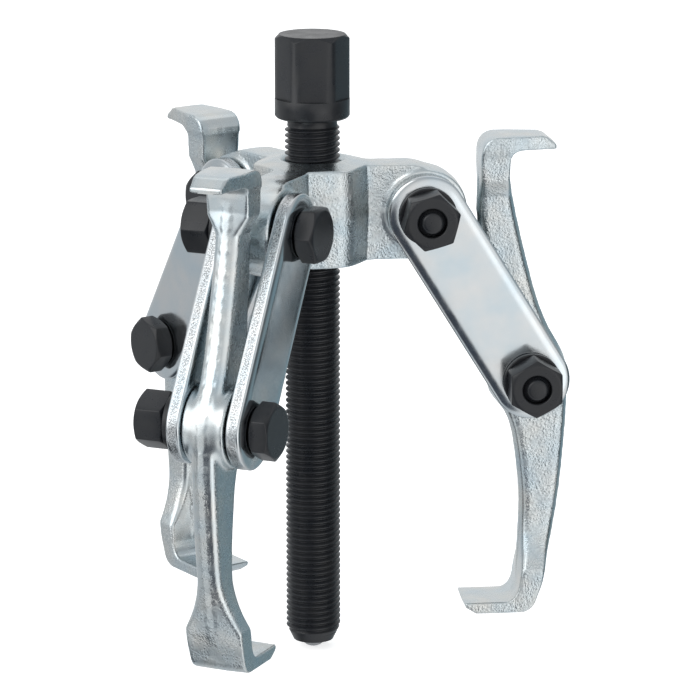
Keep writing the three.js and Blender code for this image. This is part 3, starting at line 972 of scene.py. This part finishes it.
def collar_mesh():
    """The round bearing collar between a strap and a nut."""
    rim = round_hole(0, 0, span("upper_washer_1", 0)[1] - PIVOT_RADIUS, 64)
    hole = round_hole(0, 0, BOLT_HOLE_RADIUS)
    return plate(lambda inset: rim(-inset), [hole], WASHER_IN, WASHER_OUT, 0.3, 0.2)


def make_fasteners():
    bolt, nut, collar = bolt_mesh(), nut_mesh(), collar_mesh()
    for arm in ARMS:
        place = link_place(arm)
        upper = Vector(JOINTS[f"link_{arm}_swing"]["pos_m"])
        lower = Vector(JOINTS[f"jaw_{arm}_tilt"]["pos_m"])
        lean = math.degrees(math.acos((upper - lower).normalized().z))
        shifts = {"upper": 0, "lower": -(upper - lower).length}
        for (level, shift), corner in zip(shifts.items(), HEX_CORNERS[arm]):
            here = place @ Matrix.Translation((0, 0, shift))
            angle = corner - lean
            name = f"{level}_bolt_{arm}"
            verts = lying(turned_about_axis(bolt.verts, angle), 1)
            make_piece(f"{name}_m8", name, verts, oriented(bolt.faces, 1), here, 30.0)
            name = f"{level}_nut_{arm}"
            verts = lying(turned_about_axis(nut.verts, angle), -1)
            make_piece(f"{name}_m8", name, verts, nut.faces, here, 30.0)
            name = f"{level}_collar_{arm}"
            verts = lying(collar.verts, -1)
            make_piece(name, f"{level}_washer_{arm}", verts, collar.faces, here, 40.0)


# ---- spindle and ball ----

SPINDLE_LENGTH = -span("spindle", 2)[0]
THREAD_RADIUS = 7.0
THREAD_PITCH = 1.5
THREAD_DEPTH = 0.86
END_RADIUS = 5.2
LIP_RADIUS, LIP_HEIGHT = 5.7, 1.1
END_CHAMFER = 3.7
SOCKET_RADIUS = 3.9
HEX_HALF = 8.5
HEX_TURNED_RADIUS = 9.5
HEX_TOP_RADIUS = 8.55
HEX_HEIGHT = 16.3
HEX_CORNER_AZIMUTH = math.radians(26 + 30)
HEAD_HEIGHT = 21.3
COLLAR_CHAMFER = 0.6
NECK_RADIUS = 6.4
NECK_HEIGHT = 2.0
BALL_RADIUS = 3.75
SPINDLE_SHARP = 32.0  # degrees between faces from which an edge shows sharp
# depth of the thread's groove at points along one pitch, as shares of the pitch and of the full depth
THREAD_PROFILE = (
    (0.0, 0.0), (0.07, 0.0), (0.13, 0.10), (0.38, 0.92), (0.45, 1.0),
    (0.55, 1.0), (0.62, 0.92), (0.87, 0.10), (0.93, 0.0),
)


def thread_radius(height, angles):
    """Radius of the threaded length at a height, for each angle round the axis."""
    turn_part = ((height + SPINDLE_LENGTH) / THREAD_PITCH - angles / (2 * np.pi)) % 1.0
    parts, depths = zip(*THREAD_PROFILE, (1.0, 0.0))
    cut = np.interp(turn_part, parts, depths) * THREAD_DEPTH
    above_end = height + SPINDLE_LENGTH
    cone = np.interp(above_end, (0, LIP_HEIGHT, END_CHAMFER), (END_RADIUS, LIP_RADIUS, THREAD_RADIUS))
    below_neck = -HEAD_HEIGHT - NECK_HEIGHT - height
    run_out = NECK_RADIUS + np.maximum(below_neck, 0) * 1.1
    return np.minimum(np.minimum(THREAD_RADIUS - cut, cone), run_out)


def spindle_angles(per_flat=8, per_corner=2):
    """Angles round the spindle with points exactly at the ends of the hexagon's flats."""
    half = math.acos(HEX_HALF / HEX_TURNED_RADIUS)
    angles = []
    for side in range(6):
        middle = HEX_CORNER_AZIMUTH + math.pi / 6 + side * math.pi / 3
        angles += list(np.linspace(middle - half, middle + half, per_flat, endpoint=False))
        gap = math.pi / 3 - 2 * half
        angles += list(np.linspace(middle + half, middle + half + gap, per_corner, endpoint=False))
    return np.array(sorted(angle % (2 * math.pi) for angle in angles))


def add_thread(mesh, angles, bottom, top):
    """Rows of points that follow the helix. Those past an end are moved onto it, where they
    coincide and are merged later. The last column joins the first one a whole pitch higher."""
    parts = [part for part, _ in THREAD_PROFILE]
    first, last = -2, int((top - bottom) / THREAD_PITCH) + 2
    rows = []
    for turn in range(first, last):
        for part in parts:
            heights = bottom + THREAD_PITCH * (turn + part + angles / (2 * np.pi))
            heights = np.clip(heights, bottom, top)
            rows.append(mesh.ring(around(thread_radius(heights, angles), angles, heights)))
    pitch_rows = len(parts)
    for k in range(len(rows) - 1 - pitch_rows):
        row, above = rows[k], rows[k + 1]
        for column in range(len(angles) - 1):
            mesh.faces.append((row[column], row[column + 1], above[column + 1], above[column]))
        next_turn = k + pitch_rows
        mesh.faces.append((row[-1], rows[next_turn][0], rows[next_turn + 1][0], above[-1]))


def spindle_mesh():
    """The spindle in the part's own frame, built from the thread, the end, the neck and the head."""
    angles = spindle_angles()
    bottom, top = -SPINDLE_LENGTH, -HEAD_HEIGHT - NECK_HEIGHT
    mesh = Rings()
    add_thread(mesh, angles, bottom, top)

    # the end: a flat face, and the crimped socket that holds the ball
    socket = [
        (0.01, bottom + 6),
        (2.5, bottom + 5.2),
        (SOCKET_RADIUS, bottom + 3.2),
        (SOCKET_RADIUS, bottom + 1.2),
        (SOCKET_RADIUS - 0.35, bottom + 0.15),
        (SOCKET_RADIUS - 0.2, bottom),
        (END_RADIUS - 0.25, bottom),
        (END_RADIUS, bottom),
    ]
    mesh.stack(turned_rings(socket, angles))

    # the neck and the collar's underside
    under = -HEAD_HEIGHT
    collar = [
        (NECK_RADIUS, top),
        (NECK_RADIUS - 0.1, top + 0.7),
        (NECK_RADIUS, under - 0.5),
        (NECK_RADIUS + 0.3, under - 0.1),
        (NECK_RADIUS + 0.6, under),
        (HEX_TURNED_RADIUS - COLLAR_CHAMFER - 0.15, under),
        (HEX_TURNED_RADIUS - COLLAR_CHAMFER + 0.1, under + 0.1),
        (HEX_TURNED_RADIUS - 0.12, under + COLLAR_CHAMFER - 0.1),
        (HEX_TURNED_RADIUS, under + COLLAR_CHAMFER + 0.12),
        (HEX_TURNED_RADIUS, -HEX_HEIGHT - 0.12),
        (HEX_TURNED_RADIUS - 0.06, -HEX_HEIGHT),
    ]
    rings = turned_rings(collar, angles)

    # the hexagon stands on the collar: its corners are turned to the collar's radius
    from_flat = (angles - HEX_CORNER_AZIMUTH) % (math.pi / 3) - math.pi / 6
    radii = np.minimum(HEX_HALF / np.cos(from_flat), HEX_TURNED_RADIUS - 0.06)
    rings += [around(radii, angles, -HEX_HEIGHT)]
    rings += chamfered_end(radii, angles, 0.0, HEX_TOP_RADIUS - 0.15, 1.0, 1)
    made = mesh.stack(rings)
    inner = mesh.stack(turned_rings([(6.0, 0.0), (3.0, 0.0), (0.7, 0.0)], angles))
    mesh.join(made[-1], inner[0])
    mesh.close(inner[-1], (0, 0, 0), True)
    return mesh


def weld(mesh):
    """Merges points that coincide and turns every face outwards."""
    work = bmesh.new()
    work.from_mesh(mesh)
    bmesh.ops.remove_doubles(work, verts=work.verts, dist=0.002 * MM)
    bmesh.ops.dissolve_degenerate(work, edges=work.edges, dist=0.001 * MM)
    bmesh.ops.recalc_face_normals(work, faces=work.faces)
    work.to_mesh(mesh)
    work.free()


def make_spindle():
    mesh = spindle_mesh()
    piece = make_piece("spindle_m14", "spindle", mesh.verts, mesh.faces, sharp_degrees=SPINDLE_SHARP)
    weld(piece.data)
    piece.data.set_sharp_from_angle(angle=math.radians(SPINDLE_SHARP))


def make_ball():
    """The thrust ball, with a small worn flat where it bears on a shaft's centre."""
    low, high = span("thrust_ball", 2)
    middle = high - BALL_RADIUS
    angles = even_angles(48)
    worn = 0.7
    start = math.asin(worn / BALL_RADIUS)
    profile = [(worn * share, -BALL_RADIUS * math.cos(start)) for share in (0.4, 0.8, 0.97)]
    profile += [
        (BALL_RADIUS * math.sin(a), -BALL_RADIUS * math.cos(a))
        for a in np.linspace(start, math.radians(174), 26)
    ]
    profile = [(radius, middle + height) for radius, height in profile]
    mesh = Rings()
    made = mesh.stack(turned_rings(profile, angles))
    mesh.close(made[0], (0, 0, middle - BALL_RADIUS * math.cos(start)), False)
    mesh.close(made[-1], (0, 0, high), True)
    make_piece("ball_bearing", "thrust_ball", mesh.verts, mesh.faces)


# ---- the scene ----

make_camera()
make_world()
make_lights()
make_floor()
MATERIALS = make_materials()
make_yoke()
make_jaws()
make_straps()
make_fasteners()
make_spindle()
make_ball()
